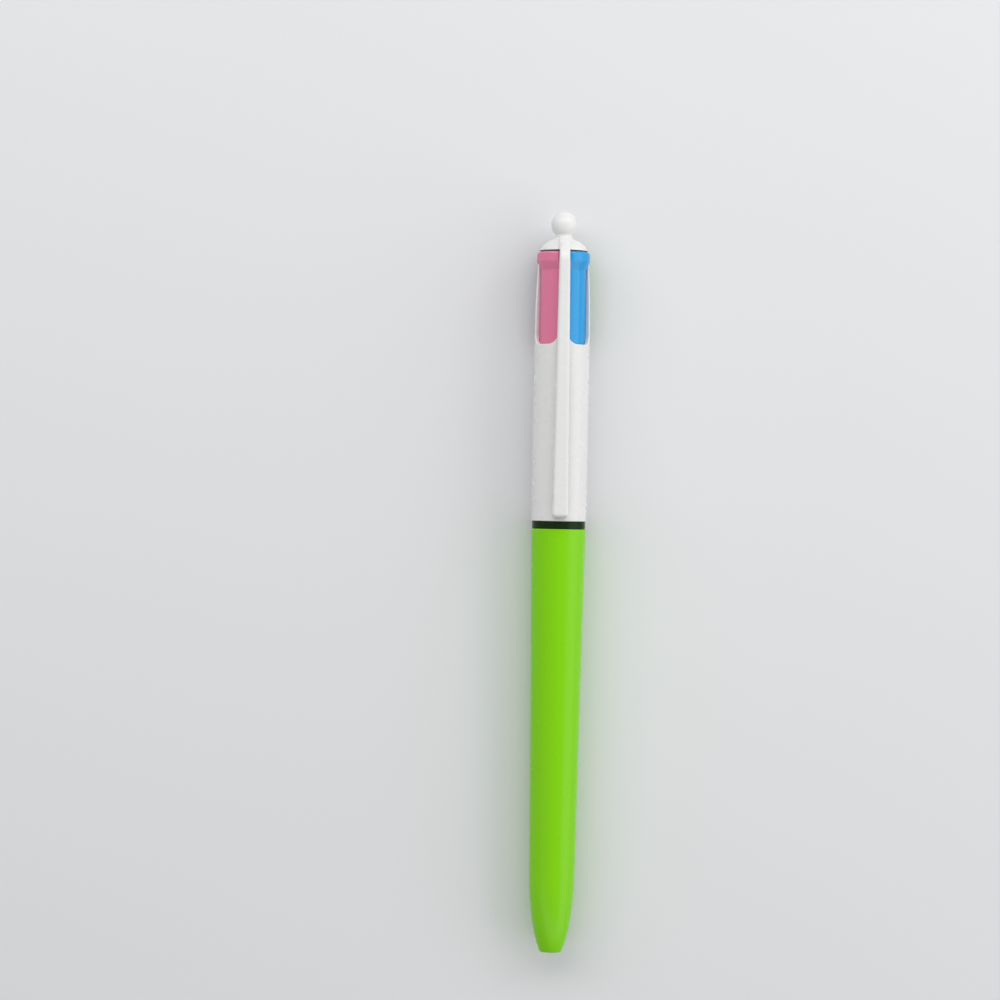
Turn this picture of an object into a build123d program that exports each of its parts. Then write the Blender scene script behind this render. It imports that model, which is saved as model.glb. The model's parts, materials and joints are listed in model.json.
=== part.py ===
from build123d import *
import math
import os

# Four-colour click pen, lying along X with its clip up (+Z) and its ball end towards +X.
# All sizes are in millimetres. Stations along the pen are counted from the flat end of the nose.

# ---- outside of the pen ----
PEN_LENGTH = 145.0
BARREL_RADIUS = 5.4            # upper barrel, where it is straight
COLLAR_STATION = 82.8          # lower barrel ends here, the dark ring starts
COLLAR_HEIGHT = 1.5            # visible height of the dark ring
COLLAR_RADIUS = 5.2
LOWER_MOUTH_RADIUS = 5.3       # lower barrel, at the ring
NOSE_BASE_RADIUS = 4.45        # lower barrel, where the nose starts to round in
NOSE_LENGTH = 16.0
NOSE_FACE_RADIUS = 2.1
NOSE_EDGE = 0.3                # rounding round the flat end of the nose
RIM_EDGE = 0.15                # rounding of the rims of barrels, slots and dark ring
EDGE_TOLERANCE = 0.02          # how near an edge lies to the surface that it is picked by

# ---- shoulder, dome, neck and ball ----
SHOULDER_LENGTH = 15.2         # stretch over which the upper barrel draws in
SHOULDER_DROP = 0.65           # by how much its radius draws in
HEAD_LENGTH = 7.8              # from the underside of the cap to the top of the ball
DOME_RADIUS = 4.98
DOME_RISE = 3.62
DOME_SINK = 1.0                # the dome's widest level lies this far below the cap's underside
NECK_RADIUS = 1.65
NECK_FILLET = 0.35
BALL_RADIUS = 2.6
CORE_RADIUS = 2.4              # post under the cap that guides the sliders
CORE_LEDGE = 0.4               # its lower end, which catches a pressed slider, above the slots' ends

# ---- upper barrel, inside ----
UPPER_WALL = 0.8
RIB_BORE_RADIUS = 4.05         # the ribs between the slots reach in to here
SLOT_WIDTH = 5.7
SLOT_LENGTH = 18.4
SLOT_CORNER = 1.8
BORE_STEP_MARGIN = 0.4         # the full bore runs this far above the slots' rounded corners

# ---- sliders ----
COLOURS = {"blue": 45.0, "pink": -45.0, "green": 135.0, "purple": -135.0}
TRAVEL = 6.4                   # press of a slider
SIDE_GAP = 0.1                 # slider to the slot's sides
TOP_GAP = 0.3                  # slider to the cap, at rest
WALL_GAP = 0.1                 # slider to the bore that it slides under
PLATE_LENGTH = 21.4
PLATE_INNER = 2.95             # flat inner face, from the pen's axis
BUMP_RADIUS = 5.25             # crest of the thumb bump, from the pen's axis
BUMP_LENGTH = 3.6
BUMP_RAMP = 1.7                # part of its length that slopes down to the plate
PLATE_EDGE = 0.2               # rounding of the plate's outer edges
BUMP_EDGE = 0.45               # roundings of the bump: top edge, crest and foot
BUMP_CREST = 0.8
BUMP_FOOT = 0.8
SHANK_WIDTH = 2.6
SHANK_INNER = 1.55
SHANK_OUTER = 4.1
SHANK_REACH = 4.0              # shank below the plate
SHOULDER_RADIUS = 1.6          # disc that the spring pushes on
SHOULDER_THICK = 1.5
SPIGOT_RADIUS = 0.75
SPIGOT_LENGTH = 4.5
CATCH_LENGTH = 3.0             # latch nose on the plate's inner face
CATCH_WIDTH = 1.8
CATCH_HEIGHT = 0.4
LEDGE_GAP = 0.4                # latch nose to the core's ledge when pressed, and shank to it at rest

# ---- refills ----
REST_DEPTH = 3.8               # nib point behind the end of the nose, at rest
TUBE_RADIUS = 1.15
TUBE_BORE = 0.8
TUBE_CHAMFER = 0.2
REFILL_OFFSET = 2.45           # from the pen's axis, where the refill is parallel to it
NIB_OFFSET = 0.6               # from the pen's axis, at the nib's point
NIB_TILT = 6.5                 # degrees that the nib leans in
STRAIGHT_LENGTH = 13.5         # from the nib's point to where the tube starts to bend
TUBE_START = 9.4
WRITING_BALL_RADIUS = 0.35
SOCKET_GAP = 0.01
NIB_RIM = (0.27, 0.4)          # distance from the nib's point, radius
NIB_CONE = (2.8, 0.54)
NIB_TAPER = (6.5, 0.8)
NIB_COLLAR = (7.0, 0.95)
NIB_STOP = 0.2                 # nib's shank ends this far short of the tube's bend
NIB_CHANNEL = 0.25
SHANK_GAP = 0.02               # nib's shank and the ink, in the tube's bore
INK_SPACE = 11.0               # empty top of the tube
INK_GAP = 0.3                  # ink starts this far past the start of the bend

# ---- collar, guide and springs ----
COLLAR_SPIGOT = 5.7            # part of the collar inside the upper barrel
COLLAR_THREAD = 6.2            # part of the collar inside the lower barrel
THREAD_RADIUS = 4.45
THREAD_DEPTH = 0.3
THREAD_PITCH = 1.5
THREAD_COUNT = 3
GUIDE_THICK = 1.5
GUIDE_GAP = 0.1                # guide's holes round the refill tubes
SEAT_GAP = 0.02                # pieces pressed into the upper barrel
SPRING_WIRE = 0.3
SPRING_RADIUS = 1.38           # to the middle of the wire
SPRING_TURNS = 11.0
SPRING_END_GAP = 0.02

# ---- lower barrel, inside ----
REFILL_GAP = 0.1               # bore round the refills when all are pressed
THREAD_GAP = 0.07
MOUTH_GAP = 0.03               # lower barrel to the ring
MOUTH_MARGIN = 0.2             # the wide mouth runs this far past the collar

# ---- pocket clip ----
CLIP_ROOT_WIDTH = 2.0
CLIP_WIDTH = 2.5               # where the arm lifts off the barrel
CLIP_END_WIDTH = 3.1
CLIP_END_MARGIN = 0.7          # from the dark ring to the clip's end
CLIP_ROOT_RISE = 1.15          # middle of the root it flexes about, from the cap's underside
CLIP_ROOT_HEIGHT = 3.9
CLIP_ROOT_RADIUS = 1.0
CLIP_GAP = 0.05                # root in its notch
CLIP_RIB_GAP = 0.2             # arm over the barrel, along the sliders
CLIP_LIFT = 1.0                # arm over the barrel, along the free part
CLIP_TOP = 8.0                 # outer face of the arm, from the pen's axis
CLIP_NUB_LENGTH = 2.6          # nub under the clip's end
CLIP_NUB_GAP = 0.15
CLIP_FREE_MARGIN = 2.8         # the arm lifts off the barrel this far below the slots
CLIP_FREE_RAMP = 7.0
CLIP_BROW_LENGTH = 1.55        # the outer face turns down to the root this far from its middle
CLIP_BROW_DROP = 0.5           # and is this much lower there than along the free part
CLIP_ROOT_RAMP = 3.8           # next to the root, the arm's underside drops over this stretch
CLIP_ROOT_SIDE = 45.0          # degrees up the root where the outer face leaves it
CLIP_END_ROUND = 0.8
CLIP_EDGE = 0.5                # rounding along both sides of the outer face
CLIP_BEND = 6.0                # rounding of the arm's underside where it lifts
CLIP_CROWN = 40.0              # rounding of its outer face there
CLIP_BROW_ROUND = 2.0

# ---- worked out from the above ----
AXIS_HEIGHT = BARREL_RADIUS
CUT_REACH = 2 * BARREL_RADIUS  # cutting blocks and cylinders run past the outside
CAP_STATION = PEN_LENGTH - HEAD_LENGTH
DOME_CENTRE = CAP_STATION - DOME_SINK
SLOT_LOW = CAP_STATION - SLOT_LENGTH
CORE_END = SLOT_LOW + CORE_LEDGE
UPPER_START = COLLAR_STATION + COLLAR_HEIGHT
CLIP_END = UPPER_START + CLIP_END_MARGIN
CLIP_FREE_START = SLOT_LOW - CLIP_FREE_MARGIN
CLIP_HINGE = (CAP_STATION + CLIP_ROOT_RISE, CLIP_ROOT_HEIGHT)
SHOULDER_START = CAP_STATION - SHOULDER_LENGTH
BORE_RADIUS = BARREL_RADIUS - UPPER_WALL
BORE_STEP = SLOT_LOW + SLOT_CORNER + BORE_STEP_MARGIN
SLIDER_RADIUS = BORE_RADIUS - WALL_GAP
SLIDER_WIDTH = SLOT_WIDTH - 2 * SIDE_GAP
SLIDER_TOP = CAP_STATION - TOP_GAP
PLATE_LOW = SLIDER_TOP - PLATE_LENGTH
SHANK_TOP = CORE_END - LEDGE_GAP
SHANK_LOW = PLATE_LOW - SHANK_REACH
CATCH_TOP = CORE_END - LEDGE_GAP + TRAVEL
REFILL_TOP = SHANK_LOW - SHOULDER_THICK
INK_TOP = REFILL_TOP - INK_SPACE
GUIDE_LOW = UPPER_START + COLLAR_SPIGOT
GUIDE_TOP = GUIDE_LOW + GUIDE_THICK
COLLAR_LOW = COLLAR_STATION - COLLAR_THREAD
COLLAR_BORE = REFILL_OFFSET + TUBE_RADIUS + GUIDE_GAP
PROTRUSION = TRAVEL - REST_DEPTH
LEAN = math.radians(NIB_TILT)
BEND_OFFSET = NIB_OFFSET + STRAIGHT_LENGTH * math.sin(LEAN)
BEND_RADIUS = (REFILL_OFFSET - BEND_OFFSET) / (1 - math.cos(LEAN))
BEND_START = STRAIGHT_LENGTH * math.cos(LEAN)
BEND_END = BEND_START + BEND_RADIUS * math.sin(LEAN)
NIB_LENGTH = STRAIGHT_LENGTH - NIB_STOP


# ---------------------------------------------------------------- helpers
def half_plane(*edges):
    """Closed face from edges drawn as (station, distance from the axis)."""
    return make_face(Plane.XZ * Curve(list(edges)))


def turned(*edges):
    """Solid of revolution about the pen's axis."""
    return revolve(half_plane(*edges), Axis.X)


def turned_points(*points):
    return turned(Polyline(*points, close=True))


def ring(low, high, inner, outer):
    return turned_points((low, inner), (low, outer), (high, outer), (high, inner))


def rod(low, high, radius, offset=0.0):
    """Round bar along the pen, its middle at a distance above the axis."""
    bar = Cylinder(radius, high - low, align=(Align.CENTER, Align.CENTER, Align.MIN))
    return Pos(low, 0, offset) * Rot(0, 90, 0) * bar


def block(low, high, width, bottom, top):
    """Box from one station to another, centred across the pen."""
    return Pos((low + high) / 2, 0, (bottom + top) / 2) * Box(high - low, width, top - bottom)


def slot_block(low, high, width, corner, bottom, top):
    """Block with a rounded lower end, standing up from a height above the axis."""
    face = Pos((low + high) / 2, 0, 0) * Rectangle(high - low, width)
    face = fillet(face.vertices().group_by(Axis.X)[0], corner)
    return extrude(Pos(0, 0, bottom) * face, top - bottom, dir=(0, 0, 1))


def barrel_radius(station):
    """Outer radius of the upper barrel, where it is straight and along its shoulder."""
    if station <= SHOULDER_START:
        return BARREL_RADIUS
    bend = (SHOULDER_LENGTH**2 + SHOULDER_DROP**2) / (2 * SHOULDER_DROP)
    return BARREL_RADIUS - bend + math.sqrt(bend**2 - (station - SHOULDER_START) ** 2)


def refill_offset(along):
    """Distance of the refill's centreline from the axis, at a distance along from the nib's point."""
    if along <= BEND_START:
        return NIB_OFFSET + along * math.tan(LEAN)
    if along >= BEND_END:
        return REFILL_OFFSET
    return REFILL_OFFSET - BEND_RADIUS + math.sqrt(BEND_RADIUS**2 - (BEND_END - along) ** 2)


def on_outside(edge):
    """True for an edge on the outside of the upper barrel, but not the shoulder's start or the capped end."""
    points = [edge @ share for share in (0.1, 0.5, 0.9)]
    for station in (SHOULDER_START, CAP_STATION):
        if all(abs(point.X - station) < EDGE_TOLERANCE for point in points):
            return False
    return all(barrel_radius(point.X) - math.hypot(point.Y, point.Z) < EDGE_TOLERANCE for point in points)


def lower_bore(station):
    """Bore radius that clears the pressed tubes at a station of the lower barrel."""
    return refill_offset(station + PROTRUSION) + TUBE_RADIUS / math.cos(LEAN) + REFILL_GAP


# ---------------------------------------------------------------- barrels, cap and collar
def make_lower_barrel():
    """Grip barrel: bullet nose, straight taper, tapering bore and a wide mouth for the thread."""
    half_axis = NOSE_LENGTH / math.sqrt(1 - (NOSE_FACE_RADIUS / NOSE_BASE_RADIUS) ** 2)
    start_angle = math.degrees(math.acos(-NOSE_LENGTH / half_axis))
    nose = EllipticalCenterArc(
        (NOSE_LENGTH, 0), half_axis, NOSE_BASE_RADIUS, 90, arc_size=start_angle - 90
    )
    mouth_end = COLLAR_STATION - MOUTH_GAP
    taper = Line((NOSE_LENGTH, NOSE_BASE_RADIUS), (mouth_end, LOWER_MOUTH_RADIUS))
    rest = Polyline(taper @ 1, (mouth_end, 0), (0, 0), nose @ 1)
    outside = turned(nose, taper, rest)
    outside = fillet(outside.edges().group_by(Axis.X)[0], NOSE_EDGE)
    outside = fillet(outside.edges().group_by(Axis.X)[-1], RIM_EDGE)
    mouth_low = COLLAR_LOW - MOUTH_MARGIN
    mouth_radius = THREAD_RADIUS + THREAD_GAP
    exit_radius = refill_offset(PROTRUSION) + NIB_CONE[1] + REFILL_GAP / 2
    bend_middle = (BEND_START + BEND_END) / 2
    bore = [(0, 0), (0, exit_radius)]
    for along in (TUBE_START, BEND_START, bend_middle, BEND_END):
        bore.append((along - PROTRUSION, lower_bore(along - PROTRUSION)))
    bore += [(mouth_low, lower_bore(mouth_low)), (mouth_low, mouth_radius)]
    bore += [(mouth_end, mouth_radius), (mouth_end, 0)]
    return outside - turned_points(*bore)


def make_upper_barrel():
    """White tube: straight, then drawn in at the shoulder, with four slots open at the top."""
    bend = (SHOULDER_LENGTH**2 + SHOULDER_DROP**2) / (2 * SHOULDER_DROP)
    bend_angle = math.degrees(math.asin(SHOULDER_LENGTH / bend))
    straight = Line((UPPER_START, BARREL_RADIUS), (SHOULDER_START, BARREL_RADIUS))
    shoulder = JernArc(straight @ 1, (1, 0), bend, -bend_angle)
    inside = Polyline(
        shoulder @ 1,
        (CAP_STATION, RIB_BORE_RADIUS),
        (BORE_STEP, RIB_BORE_RADIUS),
        (BORE_STEP, BORE_RADIUS),
        (UPPER_START, BORE_RADIUS),
        straight @ 0,
    )
    tube = turned(straight, shoulder, inside)
    slot = slot_block(SLOT_LOW, CAP_STATION + TOP_GAP, SLOT_WIDTH, SLOT_CORNER, 0, CUT_REACH)
    for angle in COLOURS.values():
        tube -= Rot(angle, 0, 0) * slot
    return fillet(tube.edges().filter_by(on_outside), RIM_EDGE)


def make_top_cap():
    """Dome, neck and ball, with the core post below and a notch for the clip's root."""
    dome_end = DOME_CENTRE + DOME_RISE * math.sqrt(1 - (NECK_RADIUS / DOME_RADIUS) ** 2)
    low_angle = math.degrees(math.acos((CAP_STATION - DOME_CENTRE) / DOME_RISE))
    high_angle = math.degrees(math.asin(NECK_RADIUS / DOME_RADIUS))
    dome = EllipticalCenterArc(
        (DOME_CENTRE, 0), DOME_RISE, DOME_RADIUS, high_angle, arc_size=low_angle - high_angle
    )
    ball_centre = PEN_LENGTH - BALL_RADIUS
    neck_end = ball_centre - math.sqrt(BALL_RADIUS**2 - NECK_RADIUS**2)
    neck_angle = math.degrees(math.asin(NECK_RADIUS / BALL_RADIUS))
    neck = Line((dome_end, NECK_RADIUS), (neck_end, NECK_RADIUS))
    ball = CenterArc((ball_centre, 0), BALL_RADIUS, 0, 180 - neck_angle)
    base = Polyline(
        (PEN_LENGTH, 0), (CORE_END, 0), (CORE_END, CORE_RADIUS), (CAP_STATION, CORE_RADIUS), dome @ 1
    )
    cap = turned(dome, neck, ball, base)
    neck_rings = cap.edges().filter_by(GeomType.CIRCLE).filter_by(
        lambda edge: abs(edge.radius - NECK_RADIUS) < EDGE_TOLERANCE
    )
    cap = fillet(neck_rings, NECK_FILLET)
    station, height = CLIP_HINGE
    room = CLIP_ROOT_RADIUS + CLIP_GAP
    width = CLIP_ROOT_WIDTH + 2 * CLIP_GAP
    cap -= block(CAP_STATION, station + room, width, height, CUT_REACH)
    cap -= Pos(station, 0, height) * Rot(90, 0, 0) * Cylinder(room, width)
    return cap


def make_thread_collar():
    """Dark ring with a spigot up into the upper barrel and a threaded one down."""
    spigot_radius = BORE_RADIUS - SEAT_GAP
    root = THREAD_RADIUS - THREAD_DEPTH
    outline = [(COLLAR_LOW, COLLAR_BORE), (COLLAR_LOW, root)]
    for turn in range(THREAD_COUNT):
        start = COLLAR_LOW + THREAD_PITCH / 2 + turn * THREAD_PITCH
        crest = start + THREAD_PITCH / 3
        outline += [(start, root), (crest, THREAD_RADIUS)]
        outline += [(crest + THREAD_PITCH / 6, THREAD_RADIUS), (start + THREAD_PITCH * 5 / 6, root)]
    outline += [(COLLAR_STATION, root), (COLLAR_STATION, COLLAR_RADIUS)]
    outline += [(UPPER_START, COLLAR_RADIUS), (UPPER_START, spigot_radius)]
    outline += [(GUIDE_LOW, spigot_radius), (GUIDE_LOW, COLLAR_BORE)]
    collar = turned_points(*outline)
    rims = collar.edges().filter_by(GeomType.CIRCLE).filter_by(
        lambda edge: abs(edge.radius - COLLAR_RADIUS) < EDGE_TOLERANCE
    )
    return fillet(rims, RIM_EDGE)


def make_refill_guide():
    """Plate with four holes: it guides the refills and carries the springs."""
    plate = ring(GUIDE_LOW, GUIDE_TOP, 0, BORE_RADIUS - SEAT_GAP)
    for angle in COLOURS.values():
        hole = rod(GUIDE_LOW - 1, GUIDE_TOP + 1, TUBE_RADIUS + GUIDE_GAP, REFILL_OFFSET)
        plate -= Rot(angle, 0, 0) * hole
    return plate


def make_pocket_clip():
    """Clip: round root, arm along the ribs, free part and a nub at its end."""
    station, height = CLIP_HINGE
    root_low = station - CLIP_ROOT_RADIUS
    arm_low = BARREL_RADIUS + CLIP_RIB_GAP
    free_low = BARREL_RADIUS + CLIP_LIFT
    nub_low = BARREL_RADIUS + CLIP_NUB_GAP
    nub_end = CLIP_END + CLIP_NUB_LENGTH
    side_angle = math.radians(CLIP_ROOT_SIDE)
    leave_station = station + CLIP_ROOT_RADIUS * math.cos(side_angle)
    leave_height = height + CLIP_ROOT_RADIUS * math.sin(side_angle)
    corners = [
        (station, height, 0),
        (root_low, height, 0),
        (root_low, BUMP_RADIUS, 0.2),
        (root_low - CLIP_ROOT_RAMP, arm_low, CLIP_BROW_ROUND),
        (CLIP_FREE_START, arm_low, CLIP_BEND),
        (CLIP_FREE_START - CLIP_FREE_RAMP, free_low, CLIP_BEND),
        (nub_end, free_low, 0.8),
        (nub_end - CLIP_NUB_LENGTH / 3, nub_low, 0.5),
        (CLIP_END, nub_low, 0.6),
        (CLIP_END, CLIP_TOP, CLIP_END_ROUND),
        (CLIP_FREE_START, CLIP_TOP, CLIP_CROWN),
        (station - CLIP_BROW_LENGTH, CLIP_TOP - CLIP_BROW_DROP, CLIP_BROW_ROUND),
        (leave_station, leave_height, 0),
    ]
    points = [(along, up) for along, up, _ in corners]
    side = FilletPolyline(*points, radius=[corner[2] for corner in corners], close=True)
    arm = extrude(make_face(Plane.XZ * side), CLIP_END_WIDTH, both=True)
    plan = Polyline(
        (CLIP_END, CLIP_END_WIDTH / 2),
        (CLIP_FREE_START, CLIP_WIDTH / 2),
        (station + CLIP_ROOT_RADIUS, CLIP_ROOT_WIDTH / 2),
        (station + CLIP_ROOT_RADIUS, -CLIP_ROOT_WIDTH / 2),
        (CLIP_FREE_START, -CLIP_WIDTH / 2),
        (CLIP_END, -CLIP_END_WIDTH / 2),
        close=True,
    )
    plan = make_face(plan)
    plan = fillet(plan.vertices().group_by(Axis.X)[0], CLIP_END_ROUND)
    arm &= extrude(plan, CUT_REACH, dir=(0, 0, 1))
    outer_faces = arm.faces().filter_by(lambda face: face.normal_at().Z > 0.3)
    arm = fillet(
        outer_faces.edges().filter_by(lambda edge: abs((edge @ 0.5).Y) > CLIP_ROOT_WIDTH / 2),
        CLIP_EDGE,
    )
    root = Pos(station, 0, height) * Rot(90, 0, 0) * Cylinder(CLIP_ROOT_RADIUS, CLIP_ROOT_WIDTH)
    return arm + root


# ---------------------------------------------------------------- one colour's pieces
def make_slider():
    """Plate with its thumb bump, latch nose, shank, spring shoulder and spigot."""
    crest_end = SLIDER_TOP - BUMP_LENGTH + BUMP_RAMP
    profile = FilletPolyline(
        (PLATE_LOW, 0),
        (PLATE_LOW, SLIDER_RADIUS),
        (SLIDER_TOP - BUMP_LENGTH, SLIDER_RADIUS),
        (crest_end, BUMP_RADIUS),
        (SLIDER_TOP, BUMP_RADIUS),
        (SLIDER_TOP, 0),
        radius=[0, 0, BUMP_FOOT, BUMP_CREST, BUMP_EDGE, 0],
        close=True,
    )
    plate = slot_block(PLATE_LOW, SLIDER_TOP, SLIDER_WIDTH, SLOT_CORNER, PLATE_INNER, CUT_REACH)
    plate &= turned(profile)
    plate = fillet(
        plate.edges().filter_by(
            lambda edge: math.hypot((edge @ 0.5).Y, (edge @ 0.5).Z) > SLIDER_RADIUS - PLATE_EDGE
        ),
        PLATE_EDGE,
    )
    catch_low = CATCH_TOP - CATCH_LENGTH
    catch = block(catch_low, CATCH_TOP, CATCH_WIDTH, PLATE_INNER - CATCH_HEIGHT, PLATE_INNER + CATCH_HEIGHT)
    shank = block(SHANK_LOW, SHANK_TOP, SHANK_WIDTH, SHANK_INNER, SHANK_OUTER)
    shoulder = rod(REFILL_TOP, SHANK_LOW, SHOULDER_RADIUS, REFILL_OFFSET)
    spigot = rod(REFILL_TOP - SPIGOT_LENGTH, REFILL_TOP, SPIGOT_RADIUS, REFILL_OFFSET)
    return plate + catch + shank + shoulder + spigot


def make_return_spring():
    """Helical spring between the guide and the slider's shoulder."""
    low = GUIDE_TOP + SPRING_WIRE / 2 + SPRING_END_GAP
    height = REFILL_TOP - GUIDE_TOP - SPRING_WIRE - 2 * SPRING_END_GAP
    coil = Helix(pitch=height / SPRING_TURNS, height=height, radius=SPRING_RADIUS)
    wire = Plane(origin=coil @ 0, z_dir=coil % 0) * Circle(SPRING_WIRE / 2)
    spring = sweep(wire, path=coil, is_frenet=True)
    return Pos(low, 0, REFILL_OFFSET) * Rot(0, 90, 0) * spring


def refill_path(low, high):
    """Refill's centreline from a station on the straight lower part up to a station on the top part."""
    start = (REST_DEPTH + low, 0, refill_offset(low))
    bend = (REST_DEPTH + BEND_START, 0, refill_offset(BEND_START))
    full = (REST_DEPTH + BEND_END, 0, REFILL_OFFSET)
    middle_along = (BEND_START + BEND_END) / 2
    middle = (REST_DEPTH + middle_along, 0, refill_offset(middle_along))
    return [Line(start, bend), ThreePointArc(bend, middle, full), Line(full, (high, 0, REFILL_OFFSET))]


def follow_refill(radius, low, high):
    """Round bar along the refill's centreline, made of a straight, a bent and a parallel stretch."""
    solid = None
    for edge in refill_path(low, high):
        section = Plane(origin=edge @ 0, z_dir=edge % 0) * Circle(radius)
        stretch = sweep(section, path=edge)
        solid = stretch if solid is None else solid + stretch
    return solid


def make_refill_tube():
    """Plastic tube, open at both ends, with a chamfer round its lower end."""
    outer = follow_refill(TUBE_RADIUS, TUBE_START, REFILL_TOP)
    outer = chamfer(outer.edges().filter_by(GeomType.CIRCLE).group_by(Axis.X)[0], TUBE_CHAMFER)
    return outer - follow_refill(TUBE_BORE, TUBE_START - 1, REFILL_TOP + 1)


def make_ink():
    """Ink column that fills the tube from the nib's shank up."""
    radius = TUBE_BORE - SHANK_GAP
    low = BEND_START + INK_GAP
    start = (REST_DEPTH + low, 0, refill_offset(low))
    full = (REST_DEPTH + BEND_END, 0, REFILL_OFFSET)
    middle_along = (low + BEND_END) / 2
    middle = (REST_DEPTH + middle_along, 0, refill_offset(middle_along))
    bent = ThreePointArc(start, middle, full)
    section = Plane(origin=bent @ 0, z_dir=bent % 0) * Circle(radius)
    return sweep(section, path=bent) + rod(REST_DEPTH + BEND_END, INK_TOP, radius, REFILL_OFFSET)


def lean_in(shape):
    """Put a piece drawn along the axis from the nib's point where the nib is."""
    return Pos(REST_DEPTH, 0, NIB_OFFSET) * Rot(0, -NIB_TILT, 0) * shape


def make_nib():
    """Brass nib: rim round the ball, slender cone, collar and shank, with an ink channel."""
    shank = TUBE_BORE - SHANK_GAP
    body = turned_points(
        (NIB_RIM[0], 0), NIB_RIM, NIB_CONE, NIB_TAPER, NIB_COLLAR,
        (TUBE_START / math.cos(LEAN), NIB_COLLAR[1]), (TUBE_START / math.cos(LEAN), shank),
        (NIB_LENGTH, shank), (NIB_LENGTH, 0),
    )
    body -= rod(0, NIB_LENGTH + 1, NIB_CHANNEL)
    body -= Pos(WRITING_BALL_RADIUS, 0, 0) * Sphere(WRITING_BALL_RADIUS + SOCKET_GAP)
    return lean_in(body)


def make_writing_ball():
    return lean_in(Pos(WRITING_BALL_RADIUS, 0, 0) * Sphere(WRITING_BALL_RADIUS))


# ---------------------------------------------------------------- assembly
def build():
    """All pieces by name, in the pen's own stations."""
    pieces = {
        "lower_barrel": make_lower_barrel(),
        "upper_barrel": make_upper_barrel(),
        "top_cap": make_top_cap(),
        "thread_collar": make_thread_collar(),
        "refill_guide": make_refill_guide(),
        "pocket_clip": make_pocket_clip(),
    }
    colour_set = {
        "slider": make_slider(),
        "return_spring": make_return_spring(),
        "refill_tube": make_refill_tube(),
        "ink": make_ink(),
        "nib": make_nib(),
        "writing_ball": make_writing_ball(),
    }
    for colour, angle in COLOURS.items():
        for name, piece in colour_set.items():
            pieces[f"{colour}_{name}"] = Rot(angle, 0, 0) * piece
    return pieces


os.makedirs("parts", exist_ok=True)
for name, piece in build().items():
    export_step(Pos(-PEN_LENGTH / 2, 0, AXIS_HEIGHT) * piece, f"parts/{name}.step")
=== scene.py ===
import json
import math

import bmesh
import bpy
from bpy.props import FloatProperty, FloatVectorProperty, PointerProperty
from bpy.types import Operator, Panel, PropertyGroup
from mathutils import Matrix, Vector


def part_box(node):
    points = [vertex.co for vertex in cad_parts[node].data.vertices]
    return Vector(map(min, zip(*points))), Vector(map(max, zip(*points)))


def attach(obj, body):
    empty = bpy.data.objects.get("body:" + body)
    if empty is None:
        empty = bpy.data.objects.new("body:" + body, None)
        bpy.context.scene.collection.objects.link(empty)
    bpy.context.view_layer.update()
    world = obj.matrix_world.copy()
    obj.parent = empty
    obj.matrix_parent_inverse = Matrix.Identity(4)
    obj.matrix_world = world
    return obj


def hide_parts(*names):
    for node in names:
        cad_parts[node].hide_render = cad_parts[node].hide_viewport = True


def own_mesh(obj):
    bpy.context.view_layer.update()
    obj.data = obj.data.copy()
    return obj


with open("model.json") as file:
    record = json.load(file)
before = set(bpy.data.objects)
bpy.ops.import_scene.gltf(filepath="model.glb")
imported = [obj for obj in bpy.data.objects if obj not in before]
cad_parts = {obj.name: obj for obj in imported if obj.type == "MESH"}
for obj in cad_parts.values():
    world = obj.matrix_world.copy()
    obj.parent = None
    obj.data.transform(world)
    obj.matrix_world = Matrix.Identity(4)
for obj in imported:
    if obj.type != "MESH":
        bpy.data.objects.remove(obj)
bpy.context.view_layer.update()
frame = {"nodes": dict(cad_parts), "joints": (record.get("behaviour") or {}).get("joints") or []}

bl_info = {
    "name": "Four-Colour Click Pen",
    "version": (1, 0, 0),
    "blender": (4, 5, 0),
    "location": "View3D > Sidebar > Click Pen",
    "description": "Finishes, refills, springs, threads and studio stage of a four-colour click pen",
    "category": "Add Mesh",
}

MM = 0.001
ALONG = Vector((1.0, 0.0, 0.0))
ACROSS = Vector((0.0, 1.0, 0.0))
UP = Vector((0.0, 0.0, 1.0))
# Each colour's place round the barrel, in degrees from the clip.
PLACES = {"blue": 45.0, "pink": -45.0, "green": 135.0, "purple": -135.0}

BARREL_LOW, BARREL_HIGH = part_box("upper_barrel")
AXIS_HEIGHT = (BARREL_LOW.z + BARREL_HIGH.z) / 2
NOSE_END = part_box("lower_barrel")[0].x
UPPER_START = BARREL_LOW.x
GRIP_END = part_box("lower_barrel")[1].x
COLLAR_LOW, COLLAR_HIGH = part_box("thread_collar")

# Gap between two rings of a threaded face.
THREAD_STEP = 0.06 * MM
# Rings of wire in one turn of a spring.
COIL_STEPS = 28
# Power of a softbox at brightness 1, in watts for each square metre.
SOFTBOX_POWER = 4.0

# Places and sizes of the clip, its root and the dome that it flows out over, in millimetres.
# Stations count from the end of the nose, heights from the pen's axis.
CLIP_END = 85.0
ARM_START = 116.0
CAP_STATION = 137.2
DOME_CENTRE = 136.2
DOME_RISE = 3.62
DOME_RADIUS = 4.98
ROOT_STATION = 138.35
ROOT_HEIGHT = 3.9
ROOT_RADIUS = 1.0


def srgb(red, green, blue):
    """Scene-linear colour of an 8-bit display colour."""
    def linear(value):
        share = value / 255
        return share / 12.92 if share <= 0.04045 else ((share + 0.055) / 1.055) ** 2.4
    return linear(red), linear(green), linear(blue)


# ---------------------------------------------------------------- settings
def size_field(name, description, millimetres):
    return FloatProperty(
        name=name, description=description, default=millimetres * MM,
        min=0.0, precision=5, subtype="DISTANCE", unit="LENGTH",
    )


def angle_field(name, description, degrees):
    return FloatProperty(
        name=name, description=description, default=math.radians(degrees),
        subtype="ANGLE", unit="ROTATION",
    )


def number_field(name, description, default):
    return FloatProperty(name=name, description=description, default=default, min=0.0)


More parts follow.
